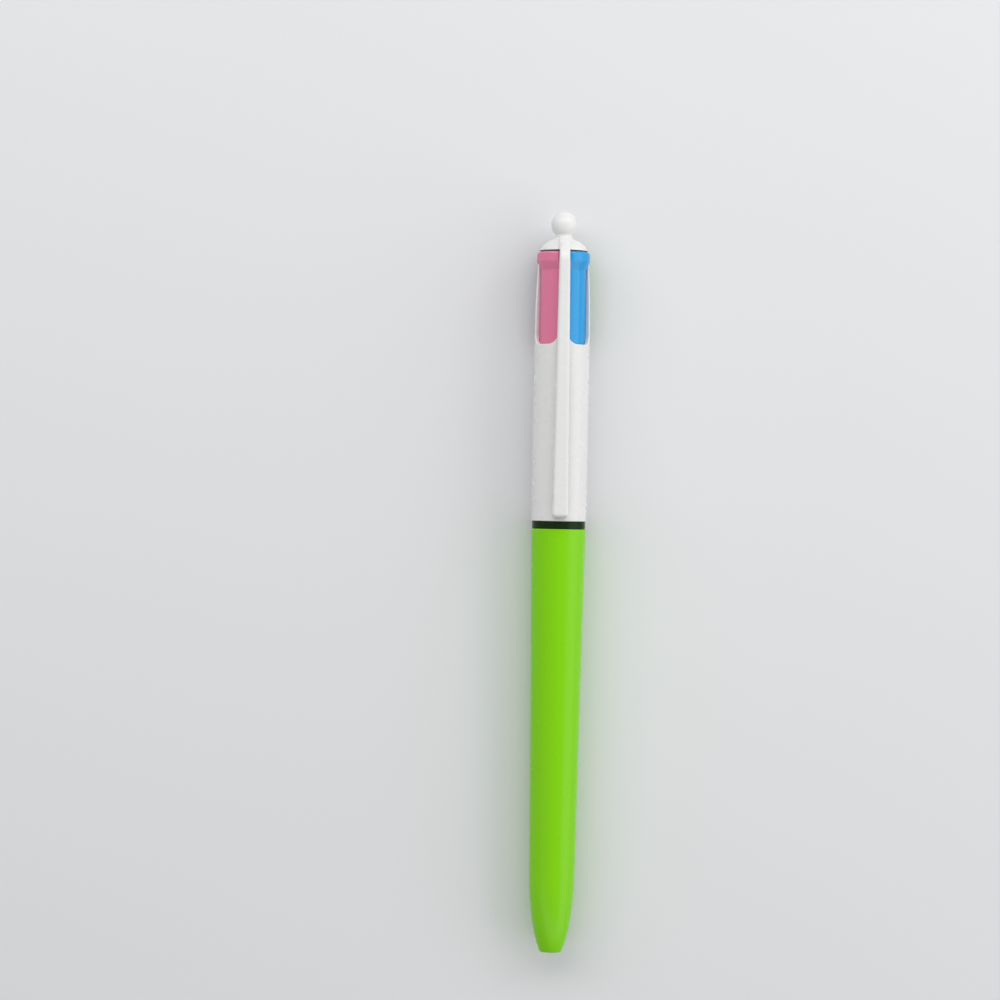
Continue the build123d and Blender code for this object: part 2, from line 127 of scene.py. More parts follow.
def colour_field(name, description, red, green, blue):
    return FloatVectorProperty(
        name=name, description=description, default=srgb(red, green, blue),
        min=0.0, max=1.0, size=3, subtype="COLOR",
    )


class PenBarrelSettings(PropertyGroup):
    """Grip barrel, dark ring and thread"""

    nose_length: size_field("Nose Length", "Stretch over which the grip barrel rounds in", 16.0)
    nose_face: size_field("Nose Face", "Radius of the flat end of the nose", 2.1)
    nose_base: size_field("Nose Base", "Radius where the nose starts to round in", 4.45)
    nose_edge: size_field("Nose Edge", "Rounding round the flat end of the nose", 0.2)
    grip_end: size_field("Grip End", "Outer radius of the grip barrel at the dark ring", 5.3)
    exit_gap: size_field("Exit Gap", "Room round a nib in the hole of the nose", 0.59)
    bore_gap: size_field("Bore Gap", "Room round the refills in the grip barrel", 0.1)
    mouth: size_field("Mouth", "Inner radius of the grip barrel's mouth", 4.52)
    mouth_depth: size_field("Mouth Depth", "How far in the wide mouth runs", 6.37)
    rim: size_field("Rim Edge", "Rounding of the rims", 0.15)
    collar_bore: size_field("Collar Bore", "Inner radius of the collar", 3.7)
    spigot: size_field("Spigot", "Radius of the collar inside the upper barrel", 4.58)
    thread_length: size_field("Thread Length", "Length of the collar's threaded part", 6.2)
    thread_crest: size_field("Thread Crest", "Outer radius of the collar's thread", 4.45)
    thread_depth: size_field("Thread Depth", "From crest to root of the thread", 0.3)
    thread_pitch: size_field("Thread Pitch", "Climb of the thread in one turn", 1.5)
    groove_depth: size_field("Groove Depth", "Depth of the thread in the mouth", 0.22)


class PenClipSettings(PropertyGroup):
    """Pocket clip"""

    end_width: size_field("End Width", "Width at the clip's free end", 3.1)
    width: size_field("Width", "Width where the arm lifts off the barrel", 2.5)
    root_width: size_field("Root Width", "Width at the cap", 2.0)
    top: size_field("Top", "Outer face, from the pen's axis", 8.0)
    lift: size_field("Lift", "Underside of the free part, from the pen's axis", 6.4)
    rest: size_field("Rest", "Underside along the sliders, from the pen's axis", 5.6)
    nub: size_field("Nub", "Underside of the nub at the free end, from the pen's axis", 5.55)
    edge: size_field("Edge", "Rounding of the outer face", 0.5)
    end_round: size_field("End Rounding", "Rounding of the free end", 0.8)
    flare: size_field("Flare", "How far the clip spreads out over the dome on each side", 0.45)
    seam: size_field("Seam", "Gap between the spread foot and the dome", 0.03)


class PenRefillSettings(PropertyGroup):
    """Refills"""

    rest_depth: size_field("Rest Depth", "From the end of the nose to a nib's point", 3.8)
    tube: size_field("Tube", "Outer radius of a refill tube", 1.15)
    bore: size_field("Bore", "Inner radius of a refill tube", 0.8)
    tube_start: size_field("Tube Start", "From the nib's point to the tube", 9.4)
    offset: size_field("Offset", "From the pen's axis to a refill's top part", 2.45)
    nib_offset: size_field("Nib Offset", "From the pen's axis to a nib's point", 0.6)
    nib_tilt: angle_field("Nib Tilt", "Lean of a nib towards the pen's axis", 6.5)
    straight: size_field("Straight Part", "From the nib's point to the tube's bend", 13.5)
    ball: size_field("Writing Ball", "Radius of a writing ball", 0.35)
    ink: size_field("Ink", "Radius of the ink column", 0.78)
    ink_start: size_field("Ink Start", "From the nib's point to the ink", 13.72)
    meniscus: size_field("Meniscus", "Depth of the hollow on top of the ink", 0.5)


class PenSpringSettings(PropertyGroup):
    """Return springs"""

    wire: size_field("Wire", "Thickness of the spring wire", 0.3)
    coil: size_field("Coil Radius", "From the coil's axis to the middle of the wire", 1.38)
    free_turns: number_field("Free Turns", "Open turns between the ends", 9.5)
    closed_turns: number_field("Closed Turns", "Turns at each end that lie side by side", 1.25)


class PenColourSettings(PropertyGroup):
    """Colours"""

    white: colour_field("White", "Upper barrel, cap and clip", 229, 229, 228)
    grip: colour_field("Grip", "Grip barrel", 130, 212, 0)
    ring: colour_field("Ring", "Dark ring and its thread", 14, 40, 7)
    guide: colour_field("Guide", "Refill guide", 216, 216, 208)
    blue: colour_field("Blue", "Blue slider", 12, 155, 222)
    pink: colour_field("Pink", "Pink slider", 227, 122, 159)
    green: colour_field("Green", "Green slider", 60, 166, 76)
    purple: colour_field("Purple", "Purple slider", 100, 34, 104)
    tube: colour_field("Tube", "Refill tubes", 238, 241, 241)
    blue_ink: colour_field("Blue Ink", "Ink of the blue refill", 16, 92, 196)
    pink_ink: colour_field("Pink Ink", "Ink of the pink refill", 214, 40, 118)
    green_ink: colour_field("Green Ink", "Ink of the green refill", 10, 122, 52)
    purple_ink: colour_field("Purple Ink", "Ink of the purple refill", 84, 18, 104)
    brass: colour_field("Brass", "Nibs", 208, 174, 106)
    steel: colour_field("Steel", "Springs and writing balls", 198, 200, 204)
    floor: colour_field("Floor", "Studio floor", 226, 227, 229)


class PenStageSettings(PropertyGroup):
    """Camera and lamps"""

    distance: size_field("Camera Distance", "From the pen's axis up to the camera", 700.0)
    view_width: size_field("View Width", "Width of the picture at the pen's axis", 195.85)
    offset_along: size_field("Offset Along", "Camera's place along the pen, from its middle", 15.72)
    offset_across: size_field("Offset Across", "Camera's place across the pen, from its axis", 11.56)
    turn: angle_field("Turn", "Turn of the pen in the picture", 1.105)
    roll: angle_field("Roll", "How far the camera leans round the pen, from straight above", 1.2)
    air: number_field("Air", "Strength of the even light around", 0.2)
    backdrop: number_field("Backdrop", "Brightness of what is seen past the floor", 0.78)
    head_lamp: number_field("Head Lamp", "Brightness of the softbox off the ball end", 1.85)
    nose_lamp: number_field("Nose Lamp", "Brightness of the softbox off the nose", 1.0)
    side_lamp: number_field("Side Lamp", "Brightness of the softbox beside the pen", 1.0)


# ---------------------------------------------------------------- shader expressions
class Wire:
    """A node's output that can stand in a Python expression."""

    def __init__(self, finish, socket):
        self.finish = finish
        self.socket = socket

    def maths(self, operation, first, second):
        return self.finish.add("ShaderNodeMath", {"operation": operation}, {0: first, 1: second})

    def __add__(self, other):
        return self.maths("ADD", self, other)

    def __radd__(self, other):
        return self.maths("ADD", other, self)

    def __sub__(self, other):
        return self.maths("SUBTRACT", self, other)

    def __rsub__(self, other):
        return self.maths("SUBTRACT", other, self)

    def __mul__(self, other):
        return self.maths("MULTIPLY", self, other)

    def __rmul__(self, other):
        return self.maths("MULTIPLY", other, self)


class Finish:
    """A node tree, built up one node at a time."""

    def __init__(self, owner):
        owner.use_nodes = True
        self.tree = owner.node_tree
        self.tree.nodes.clear()

    def add(self, kind, settings=None, inputs=None, output=0):
        """Adds a node: its settings first, then the values or wires of its sockets."""
        node = self.tree.nodes.new(kind)
        for name, value in (settings or {}).items():
            setattr(node, name, value)
        for name, value in (inputs or {}).items():
            if isinstance(value, Wire):
                self.tree.links.new(value.socket, node.inputs[name])
            else:
                node.inputs[name].default_value = value
        return Wire(self, node.outputs[output])

    def where(self):
        """Place on the piece, in metres."""
        return self.add("ShaderNodeTexCoord", output="Object")

    def stretched(self, along, round_about, turn=0.0):
        """Place scaled along the pen and across it, turned a little for slanting marks."""
        return self.add("ShaderNodeMapping", inputs={
            "Vector": self.where(),
            "Rotation": (turn, turn, turn),
            "Scale": (along, round_about, round_about),
        })

    def noise(self, place, scale=1.0, detail=2.0, roughness=0.5):
        return self.add("ShaderNodeTexNoise", inputs={
            "Vector": place, "Scale": scale, "Detail": detail, "Roughness": roughness,
        })

    def rise(self, value, low, high):
        """0 below low, 1 above high, smooth between."""
        return self.add("ShaderNodeMapRange", {"interpolation_type": "SMOOTHSTEP"}, {
            "Value": value, "From Min": low, "From Max": high,
        })

    def blend(self, share, first, second):
        """Mix of two colours."""
        return self.add("ShaderNodeMix", {"data_type": "RGBA"}, {
            0: share, 6: paint(first), 7: paint(second),
        }, output=2)

    def bump(self, height, depth):
        return self.add("ShaderNodeBump", inputs={"Height": height, "Distance": depth})

    def surface(self, inputs):
        """Ends a material in one Principled shader."""
        shader = self.add("ShaderNodeBsdfPrincipled", inputs=inputs)
        output = self.tree.nodes.new("ShaderNodeOutputMaterial")
        self.tree.links.new(shader.socket, output.inputs["Surface"])


def paint(colour):
    return colour if isinstance(colour, Wire) else (*colour, 1.0)


def shade(colour, factor):
    """A colour made lighter or darker."""
    return tuple(min(1.0, channel * factor) for channel in colour)


def new_material(name):
    material = bpy.data.materials.new(name)
    return material, Finish(material)


# ---------------------------------------------------------------- finishes
def moulded_plastic(name, colour, roughness=0.22, gloss=0.5):
    """Glossy moulded plastic: faint flow tint, handling marks, fine scuffs and orange peel."""
    material, finish = new_material(name)
    cloud = finish.noise(finish.where(), 90.0, 3.0)
    flow = finish.noise(finish.stretched(25.0, 420.0), detail=4.0, roughness=0.6)
    smudge = finish.rise(finish.noise(finish.where(), 260.0, 4.0, 0.6), 0.48, 0.72)
    along = finish.noise(finish.stretched(70.0, 5200.0))
    across = finish.noise(finish.stretched(6400.0, 260.0, 0.4))
    scuff = finish.rise(along, 0.66, 0.74) + finish.rise(across, 0.7, 0.76)
    grain = finish.noise(finish.where(), 1400.0)
    finish.surface({
        "Base Color": finish.blend(cloud * 0.6 + flow * 0.4, shade(colour, 0.985), shade(colour, 1.015)),
        "Roughness": roughness + smudge * 0.03 + scuff * 0.04 + flow * 0.02,
        "Normal": finish.bump(grain + flow * 0.5 - scuff * 0.1, 1.0e-6),
        "Specular IOR Level": gloss,
        "IOR": 1.49,
    })
    return material


def drawn_metal(name, colour, roughness, lines):
    """Bare metal with fine lines of drawing or turning."""
    material, finish = new_material(name)
    line = finish.noise(finish.stretched(lines, 900.0), detail=3.0, roughness=0.7)
    cloud = finish.noise(finish.where(), 420.0, 3.0)
    finish.surface({
        "Base Color": finish.blend(cloud, shade(colour, 0.86), shade(colour, 1.06)),
        "Metallic": 1.0,
        "Roughness": roughness + line * 0.16 + cloud * 0.06,
        "Normal": finish.bump(line + cloud * 0.4, 1.2e-6),
    })
    return material


def clear_tube(name, colour):
    """Clear plastic tube with faint draw lines along it."""
    material, finish = new_material(name)
    line = finish.noise(finish.stretched(40.0, 3800.0), detail=3.0)
    cloud = finish.noise(finish.where(), 300.0)
    finish.surface({
        "Base Color": finish.blend(cloud, shade(colour, 0.96), colour),
        "Roughness": 0.1 + cloud * 0.08 + line * 0.06,
        "Normal": finish.bump(line + cloud, 1.5e-6),
        "Transmission Weight": 0.88,
        "IOR": 1.49,
    })
    return material


def wet_ink(name, colour):
    """Thick ink, a little streaky where it clings to the bore."""
    material, finish = new_material(name)
    streak = finish.noise(finish.stretched(60.0, 900.0), detail=3.0)
    drops = finish.noise(finish.where(), 1500.0)
    finish.surface({
        "Base Color": finish.blend(streak, shade(colour, 0.75), shade(colour, 1.1)),
        "Roughness": 0.14 + streak * 0.14,
        "Normal": finish.bump(drops + streak, 2.0e-6),
        "Coat Weight": 0.3,
        "IOR": 1.4,
    })
    return material


# ---------------------------------------------------------------- meshes
def new_piece(name, skin, sharp=35.0):
    """Object of a finished bmesh, shaded smooth except over sharp edges."""
    bmesh.ops.recalc_face_normals(skin, faces=skin.faces)
    mesh = bpy.data.meshes.new(name)
    skin.to_mesh(mesh)
    skin.free()
    mesh.polygons.foreach_set("use_smooth", [True] * len(mesh.polygons))
    mesh.set_sharp_from_angle(angle=math.radians(sharp))
    piece = bpy.data.objects.new(name, mesh)
    bpy.context.scene.collection.objects.link(piece)
    return piece


def skin_over(rings, looped=False):
    """bmesh over rings of points: looped back to the first ring, or closed by caps."""
    skin = bmesh.new()
    rows = [[skin.verts.new(point) for point in ring] for ring in rings]
    pairs = list(zip(rows, rows[1:]))
    if looped:
        pairs.append((rows[-1], rows[0]))
    else:
        skin.faces.new(rows[0])
        skin.faces.new(rows[-1])
    for first, second in pairs:
        for index in range(len(first)):
            skin.faces.new((first[index - 1], first[index], second[index], second[index - 1]))
    return skin


def ring_points(centre, first, second, radius, steps):
    """Points round a centre, in the plane of two unit directions."""
    turns = [2 * math.pi * step / steps for step in range(steps)]
    return [centre + radius * (math.cos(turn) * first + math.sin(turn) * second) for turn in turns]


def turned_ring(station, radius, ripple=None, steps=128):
    """Ring round the pen's axis, with a radius that may vary round it."""
    points = []
    for step in range(steps):
        turn = 2 * math.pi * step / steps
        reach = radius + (ripple(station, turn) if ripple else 0.0)
        points.append((station, reach * math.sin(turn), AXIS_HEIGHT + reach * math.cos(turn)))
    return points


def rounded(before, corner, after, cut, steps=5):
    """Points of a soft corner between two neighbours, cut back by a length on both sides."""
    corner = Vector(corner)
    first = corner + (Vector(before) - corner).normalized() * cut
    last = corner + (Vector(after) - corner).normalized() * cut
    points = []
    for step in range(steps + 1):
        share = step / steps
        points.append(tuple(first.lerp(corner, share).lerp(corner.lerp(last, share), share)))
    return points


def spaced(low, high, gap):
    """Evenly spaced numbers from low to high, both included."""
    count = max(1, round(abs(high - low) / gap))
    return [low + (high - low) * step / count for step in range(count + 1)]


def thread_wave(low, high, pitch, depth):
    """Height of a helical thread that runs out at both of its ends."""
    def height(station, turn):
        phase = ((station - low) / pitch - turn / (2 * math.pi)) % 1.0
        flank = min(1.0, max(0.0, 1.7 - abs(phase - 0.5) * 5.6))
        run_out = min(1.0, max(0.0, min(station - low, high - station) / (0.6 * pitch)))
        return depth * flank * flank * (3 - 2 * flank) * run_out
    return height


def outward(colour):
    """Unit direction from the pen's axis to a colour's slot."""
    place = math.radians(PLACES[colour])
    return Vector((0.0, -math.sin(place), math.cos(place)))


def dress(node, material):
    """Puts a finish on a packed node that keeps its shape."""
    slots = frame["nodes"][node].material_slots
    if not slots:
        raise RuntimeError(f"{node} has no material slot")
    for slot in slots:
        slot.material = material


def stand_for(piece, node, body, material):
    """Makes a new piece the shown form of a packed node."""
    piece.data.materials.append(material)
    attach(piece, body)
    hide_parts(node)


# ---------------------------------------------------------------- clip
def height_on(line, station):
    """Height of an outline of (station, height) points at a station."""
    for (low, first), (high, last) in zip(line, line[1:]):
        if low <= station <= high and high > low:
            return first + (last - first) * (station - low) / (high - low)
    return line[0][1] if station < line[0][0] else line[-1][1]


def soft_line(corners):
    """Outline through (station, height, cut) corners in millimetres, each softened by its cut."""
    points = [corners[0][:2]]
    for before, corner, after in zip(corners, corners[1:], corners[2:]):
        points += rounded(before[:2], corner[:2], after[:2], corner[2], 8)
    points.append(corners[-1][:2])
    return [(station * MM, height * MM) for station, height in points]


def dome_radius(station):
    """Radius of the dome at a station from the end of the nose."""
    share = (station / MM - DOME_CENTRE) / DOME_RISE
    return DOME_RADIUS * MM * math.sqrt(max(0.0, 1 - share**2))


def shape_clip(sizes):
    """Clip: nub, lifted free part, arm along the ribs, and a foot that flows out over the dome."""
    top, rest, lift, nub = sizes.top / MM, sizes.rest / MM, sizes.lift / MM, sizes.nub / MM
    upper = soft_line((
        (CLIP_END, top, 0), (ARM_START, top, 4.0), (136.6, top - 0.5, 1.6), (138.9, 5.0, 0.9),
        (139.6, 2.6, 0.5), (139.75, 1.9, 0),
    ))
    lower = soft_line((
        (CLIP_END, 6.3, 0), (85.45, nub, 0.4), (86.7, nub, 0.5), (87.7, lift, 0.6),
        (109.0, lift, 2.0), (ARM_START, rest, 2.0), (133.55, rest, 1.5), (137.4, 5.25, 0),
    ))
    # Sections lie close together where the outline turns, and far apart along its straight parts.
    stations = [CLIP_END + 0.8 * share**2 for share in spaced(0.0, 1.0, 0.1)]
    stations += spaced(85.9, 88.4, 0.12) + spaced(89.0, 108.0, 1.0)
    stations += spaced(108.5, 117.0, 0.4) + spaced(118.0, 133.0, 1.0)
    stations += spaced(133.4, CAP_STATION - 0.01, 0.2) + spaced(CAP_STATION + 0.01, 139.7, 0.1)
    rings = []
    for station in stations:
        place = station * MM
        tip = max(0.0, sizes.end_round - (place - CLIP_END * MM))
        tuck = sizes.end_round - math.sqrt(sizes.end_round**2 - tip**2)
        if station < ARM_START:
            share = (station - CLIP_END) / (ARM_START - CLIP_END)
            width = sizes.end_width + (sizes.width - sizes.end_width) * share
        else:
            share = (station - ARM_START) / (ROOT_STATION + ROOT_RADIUS - ARM_START)
            width = sizes.width + (sizes.root_width - sizes.width) * min(1.0, share)
        half = width / 2 - tuck
        height = height_on(upper, place) - tuck
        if station < CAP_STATION:
            under = height_on(lower, place)
            side = clip_side(half, height, sizes.edge, half, under)
            side += [(half * 0.6, under), (0.0, under)]
        else:
            dome = dome_radius(place) + sizes.seam
            grown = min(1.0, (station - CAP_STATION) / 0.9)
            spread = min(half + sizes.flare, dome * 0.94)
            height = max(height, dome + 0.02 * MM)
            foot = math.sqrt(dome**2 - spread**2)
            soft = sizes.edge + (0.9 * MM - sizes.edge) * grown
            side = clip_side(half, height, soft, spread, foot)
            reach = spread * 0.6
            side += [(reach, math.sqrt(dome**2 - reach**2)), (0.0, dome)]
        ring = side + [(-across, up) for across, up in reversed(side[1:-1])]
        rings.append([(NOSE_END + place, across, AXIS_HEIGHT + up) for across, up in ring])
    skin = skin_over(rings)
    bmesh.ops.remove_doubles(skin, verts=skin.verts, dist=1e-7)
    return skin


def shape_root(sizes):
    """Round root of the clip, in the cap's notch, that it flexes about."""
    half, radius, edge = sizes.root_width / 2, ROOT_RADIUS * MM, 0.1 * MM
    middle = Vector((NOSE_END + ROOT_STATION * MM, 0.0, AXIS_HEIGHT + ROOT_HEIGHT * MM))
    outline = ((-half, radius - edge), (edge - half, radius), (half - edge, radius), (half, radius - edge))
    return skin_over([
        ring_points(middle + ACROSS * across, ALONG, UP, reach, 48) for across, reach in outline
    ])


def clip_side(half, height, soft, spread, foot):
    """Right half of a section: from the middle of the top, over its edge and down to the foot."""
    soft = min(soft, half * 0.95, (height - foot) * 0.8)
    side = [(0.0, height), ((half - soft) * 0.6, height)]
    for step in range(6):
        turn = math.pi / 2 * step / 5
        side.append((half - soft + soft * math.sin(turn), height - soft + soft * math.cos(turn)))
    start, corner = Vector((half, height - soft)), Vector((half, foot + (height - foot) * 0.08))
    for step in range(1, 9):
        share = step / 8
        point = start.lerp(corner, share).lerp(corner.lerp(Vector((spread, foot)), share), share)
        side.append(tuple(point))
    return side


# ---------------------------------------------------------------- refills
class RefillLine:
    """Middle line of a colour's refill: leaning in at the nib, bent, then along the pen."""

    def __init__(self, settings, colour):
        lean = settings.nib_tilt
        low = settings.nib_offset + settings.straight * math.sin(lean)
        self.lean = lean
        self.nib_offset = settings.nib_offset
        self.offset = settings.offset
        self.bend = (settings.offset - low) / (1 - math.cos(lean))
        self.bend_start = settings.straight * math.cos(lean)
        self.bend_end = self.bend_start + self.bend * math.sin(lean)
        self.point = NOSE_END + settings.rest_depth
        self.out = outward(colour)
        self.side = ALONG.cross(self.out)

    def offset_at(self, along):
        """Distance from the pen's axis, and slope, at a distance along the pen from the nib's point."""
        if along <= self.bend_start:
            return self.nib_offset + along * math.tan(self.lean), self.lean
        left = max(0.0, self.bend_end - along)
        return self.offset - self.bend + math.sqrt(self.bend**2 - left**2), math.asin(left / self.bend)

    def ring(self, along, radius, steps=40):
        offset, slope = self.offset_at(along)
        centre = Vector((self.point + along, 0.0, AXIS_HEIGHT)) + self.out * offset
        lift = self.out * math.cos(slope) - ALONG * math.sin(slope)
        return ring_points(centre, lift, self.side, radius, steps)

    def bends(self, low, high):
        """Distances along from low to high, closer together through the bend."""
        middle = [along for along in spaced(self.bend_start, self.bend_end, 0.5 * MM) if low < along < high]
        return [low, *middle, high]


def make_tube(settings, line, top):
    """Open tube with a chamfer round its lower end and a soft rim at its top."""
    chamfer, rim = 0.2 * MM, 0.08 * MM
    outer, inner, low = settings.tube, settings.bore, settings.tube_start
    outline = [(low, outer - chamfer)]
    outline += [(along, outer) for along in line.bends(low + chamfer, top - rim)]
    outline += [(top, outer - rim), (top, inner + rim)]
    outline += [(along, inner) for along in reversed(line.bends(low, top - rim))]
    return skin_over([line.ring(along, radius) for along, radius in outline], looped=True)


def make_ink(settings, line, top):
    """Ink column with a hollow top, where it climbs the wall of the tube."""
    radius, low = settings.ink, settings.ink_start
    outline = [(along, radius) for along in line.bends(low, top)]
    for share in (0.96, 0.9, 0.8, 0.65, 0.45, 0.2):
        outline.append((top - settings.meniscus * (1 - share**2), radius * share))
    return skin_over([line.ring(along, reach) for along, reach in outline])


def make_nib(settings, line):
    """Turned nib: rim rolled over the ball, slender cone, stepped collar with a groove, shank."""
    shank = settings.ink / MM
    outline = (
        (0.24, 0.31), (0.25, 0.37), (0.3, 0.4), (0.36, 0.41), (0.46, 0.4), (0.9, 0.425),
        (2.8, 0.54), (2.86, 0.6), (5.6, 0.76), (5.64, 0.72), (5.84, 0.72), (5.88, 0.78),
        (6.5, 0.8), (6.56, 0.88), (6.66, 0.95), (8.3, 0.95), (8.34, 0.91), (8.54, 0.91),
        (8.58, 0.95), (9.36, 0.95), (9.44, 0.9), (9.44, shank), (13.2, shank), (13.3, shank - 0.08),
    )
    level = math.cos(line.lean) * MM
    return skin_over([line.ring(along * level, radius * MM) for along, radius in outline])


def make_ball(settings, line):
    """Writing ball, in its socket."""
    skin = bmesh.new()
    bmesh.ops.create_icosphere(skin, subdivisions=4, radius=settings.ball)
    middle = settings.ball * math.cos(line.lean)
    offset = line.offset_at(middle)[0]
    centre = Vector((line.point + middle, 0.0, AXIS_HEIGHT)) + line.out * offset
    bmesh.ops.translate(skin, verts=skin.verts, vec=centre)
    return skin


# ---------------------------------------------------------------- pieces
class PEN_OT_moulded_pieces(Operator):
    """Give the upper barrel, cap, clip, guide and sliders their moulded plastic"""

    bl_idname = "click_pen.moulded_pieces"
    bl_label = "Moulded Pieces"
    bl_options = {"REGISTER", "UNDO"}

    def execute(self, context):
        colours = context.scene.click_pen_colours
        white = moulded_plastic("white_plastic", colours.white, 0.26, gloss=0.4)
        for node in ("upper_barrel", "top_cap"):
            dress(node, white)
        clip = new_piece("clip_form", shape_clip(context.scene.click_pen_clip), sharp=40.0)
        stand_for(clip, "pocket_clip", "clip", white)
        root = new_piece("clip_root", shape_root(context.scene.click_pen_clip))
        stand_for(root, "pocket_clip", "clip", white)
        dress("refill_guide", moulded_plastic("guide_plastic", colours.guide, 0.35, gloss=0.3))
        for colour in PLACES:
            plastic = moulded_plastic(f"{colour}_plastic", getattr(colours, colour), 0.13, gloss=0.45)
            dress(f"{colour}_slider", plastic)
        return {"FINISHED"}


class PEN_OT_grip_barrel(Operator):
    """Turn the grip barrel: bullet nose, taper, stepped bore and threaded mouth"""

    bl_idname = "click_pen.grip_barrel"
    bl_label = "Grip Barrel"
    bl_options = {"REGISTER", "UNDO"}

    def execute(self, context):
        sizes = context.scene.click_pen_barrel
        refill = context.scene.click_pen_refill
        outline = [(station, radius, None) for station, radius in grip_outside(sizes)]
        outline += grip_inside(sizes, refill)
        rings = [turned_ring(NOSE_END + along, radius, wave) for along, radius, wave in outline]
        barrel = new_piece("grip_barrel", skin_over(rings, looped=True))
        grip = context.scene.click_pen_colours.grip
        stand_for(barrel, "lower_barrel", "lower_barrel",
                  moulded_plastic("grip_plastic", grip, 0.24, gloss=0.25))
        return {"FINISHED"}


def grip_outside(sizes):
    """Outline of the grip barrel's outside, from the hole in its nose to its mouth."""
    nose, base, face = sizes.nose_length, sizes.nose_base, sizes.nose_face
    reach = nose / math.sqrt(1 - (face / base) ** 2)
    end = GRIP_END - NOSE_END
    curve = []
    for share in spaced(0.02, 1.0, 0.02):
        along = nose * share
        curve.append((along, base * math.sqrt(1 - ((nose - along) / reach) ** 2)))
    rim = sizes.grip_end - sizes.rim, sizes.rim
    outline = rounded((0.0, 0.0), (0.0, face), curve[0], sizes.nose_edge)
    outline += curve
    outline += [(along, base + (sizes.grip_end - base) * (along - nose) / (end - nose))
                for along in spaced(nose, end - 2 * sizes.rim, 4.0 * MM)[1:]]
    outline += rounded(outline[-1], (end, sizes.grip_end), (end, rim[0]), rim[1])
    return outline


def grip_inside(sizes, refill):
    """Outline of its inside, back from the threaded mouth to the hole in the nose."""
    line = RefillLine(refill, "blue")
    end = GRIP_END - NOSE_END
    mouth_low = end - sizes.mouth_depth
    pressed = press_travel("blue") - refill.rest_depth
    wave = thread_wave(NOSE_END + mouth_low, GRIP_END - sizes.rim, sizes.thread_pitch, sizes.groove_depth)
    outline = [(end, sizes.mouth + sizes.rim, None)]
    outline += [(along, sizes.mouth, wave) for along in spaced(end - sizes.rim, mouth_low, THREAD_STEP)]
    room = refill.tube / math.cos(line.lean) + sizes.bore_gap
    widest = refill.offset + room
    outline += [(mouth_low, widest, None), (mouth_low / 2, widest, None)]
    marks = (line.bend_end, (line.bend_start + line.bend_end) / 2, line.bend_start, refill.tube_start)
    outline += [(along - pressed, line.offset_at(along)[0] + room, None) for along in marks]
    outline.append((0.0, line.offset_at(pressed)[0] + sizes.exit_gap, None))
    return outline


def press_travel(colour):
    """How far a colour's slider is pressed."""
    press = next(joint for joint in frame["joints"] if joint["name"] == f"{colour}_press")
    return max(abs(limit) for limit in press["range_m"])


class PEN_OT_dark_ring(Operator):
    """Turn the dark ring with its threaded collar"""

    bl_idname = "click_pen.dark_ring"
    bl_label = "Dark Ring"
    bl_options = {"REGISTER", "UNDO"}

    def execute(self, context):
        sizes = context.scene.click_pen_barrel
        low, high, radius = COLLAR_LOW.x, COLLAR_HIGH.x, COLLAR_HIGH.y
        ring_low = low + sizes.thread_length
        root = sizes.thread_crest - sizes.thread_depth
        wave = thread_wave(low, ring_low - sizes.rim, sizes.thread_pitch, sizes.thread_depth)
        outline = [(low, sizes.collar_bore, None), (low, root - sizes.rim, None)]
        outline += [(along, root, wave) for along in spaced(low + sizes.rim, ring_low, THREAD_STEP)]
        ring = rounded((ring_low, 0.0), (ring_low, radius), (UPPER_START, radius), sizes.rim)
        ring += rounded((ring_low, radius), (UPPER_START, radius), (UPPER_START, 0.0), sizes.rim)
        outline += [(along, reach, None) for along, reach in ring]
        outline += [(UPPER_START, sizes.spigot, None), (high, sizes.spigot, None)]
        outline.append((high, sizes.collar_bore, None))
        rings = [turned_ring(along, reach, ripple) for along, reach, ripple in outline]
        piece = new_piece("dark_ring", skin_over(rings, looped=True), sharp=50.0)
        colour = context.scene.click_pen_colours.ring
        stand_for(piece, "thread_collar", "barrel",
                  moulded_plastic("ring_plastic", colour, 0.2, gloss=0.12))
        return {"FINISHED"}


class PEN_OT_refills(Operator):
    """Build the four refills: tube, ink column, nib and writing ball"""

    bl_idname = "click_pen.refills"
    bl_label = "Refills"
    bl_options = {"REGISTER", "UNDO"}

    def execute(self, context):
        colours = context.scene.click_pen_colours
        settings = context.scene.click_pen_refill
        plastic = clear_tube("tube_plastic", colours.tube)
        brass = drawn_metal("nib_brass", colours.brass, 0.2, 5200.0)
        steel = drawn_metal("ball_steel", colours.steel, 0.1, 2600.0)
        for colour in PLACES:
            line = RefillLine(settings, colour)
            tube_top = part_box(f"{colour}_refill_tube")[1].x - line.point
            ink_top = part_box(f"{colour}_ink")[1].x - line.point
            ink = wet_ink(f"{colour}_ink_fill", getattr(colours, f"{colour}_ink"))
            rows = (
                ("refill_tube", make_tube(settings, line, tube_top), "slider", "tube_plastic", plastic),
                ("ink", make_ink(settings, line, ink_top), "slider", f"{colour}_ink", ink),
                ("nib", make_nib(settings, line), "slider", "nib_brass", brass),
                ("writing_ball", make_ball(settings, line), "ball", "ball_steel", steel),
            )
            for name, skin, body, slot, material in rows:
                piece = new_piece(f"{colour}_{name}_detail", skin)
                stand_for(piece, f"{colour}_{name}", f"{colour}_{body}", material)
        return {"FINISHED"}


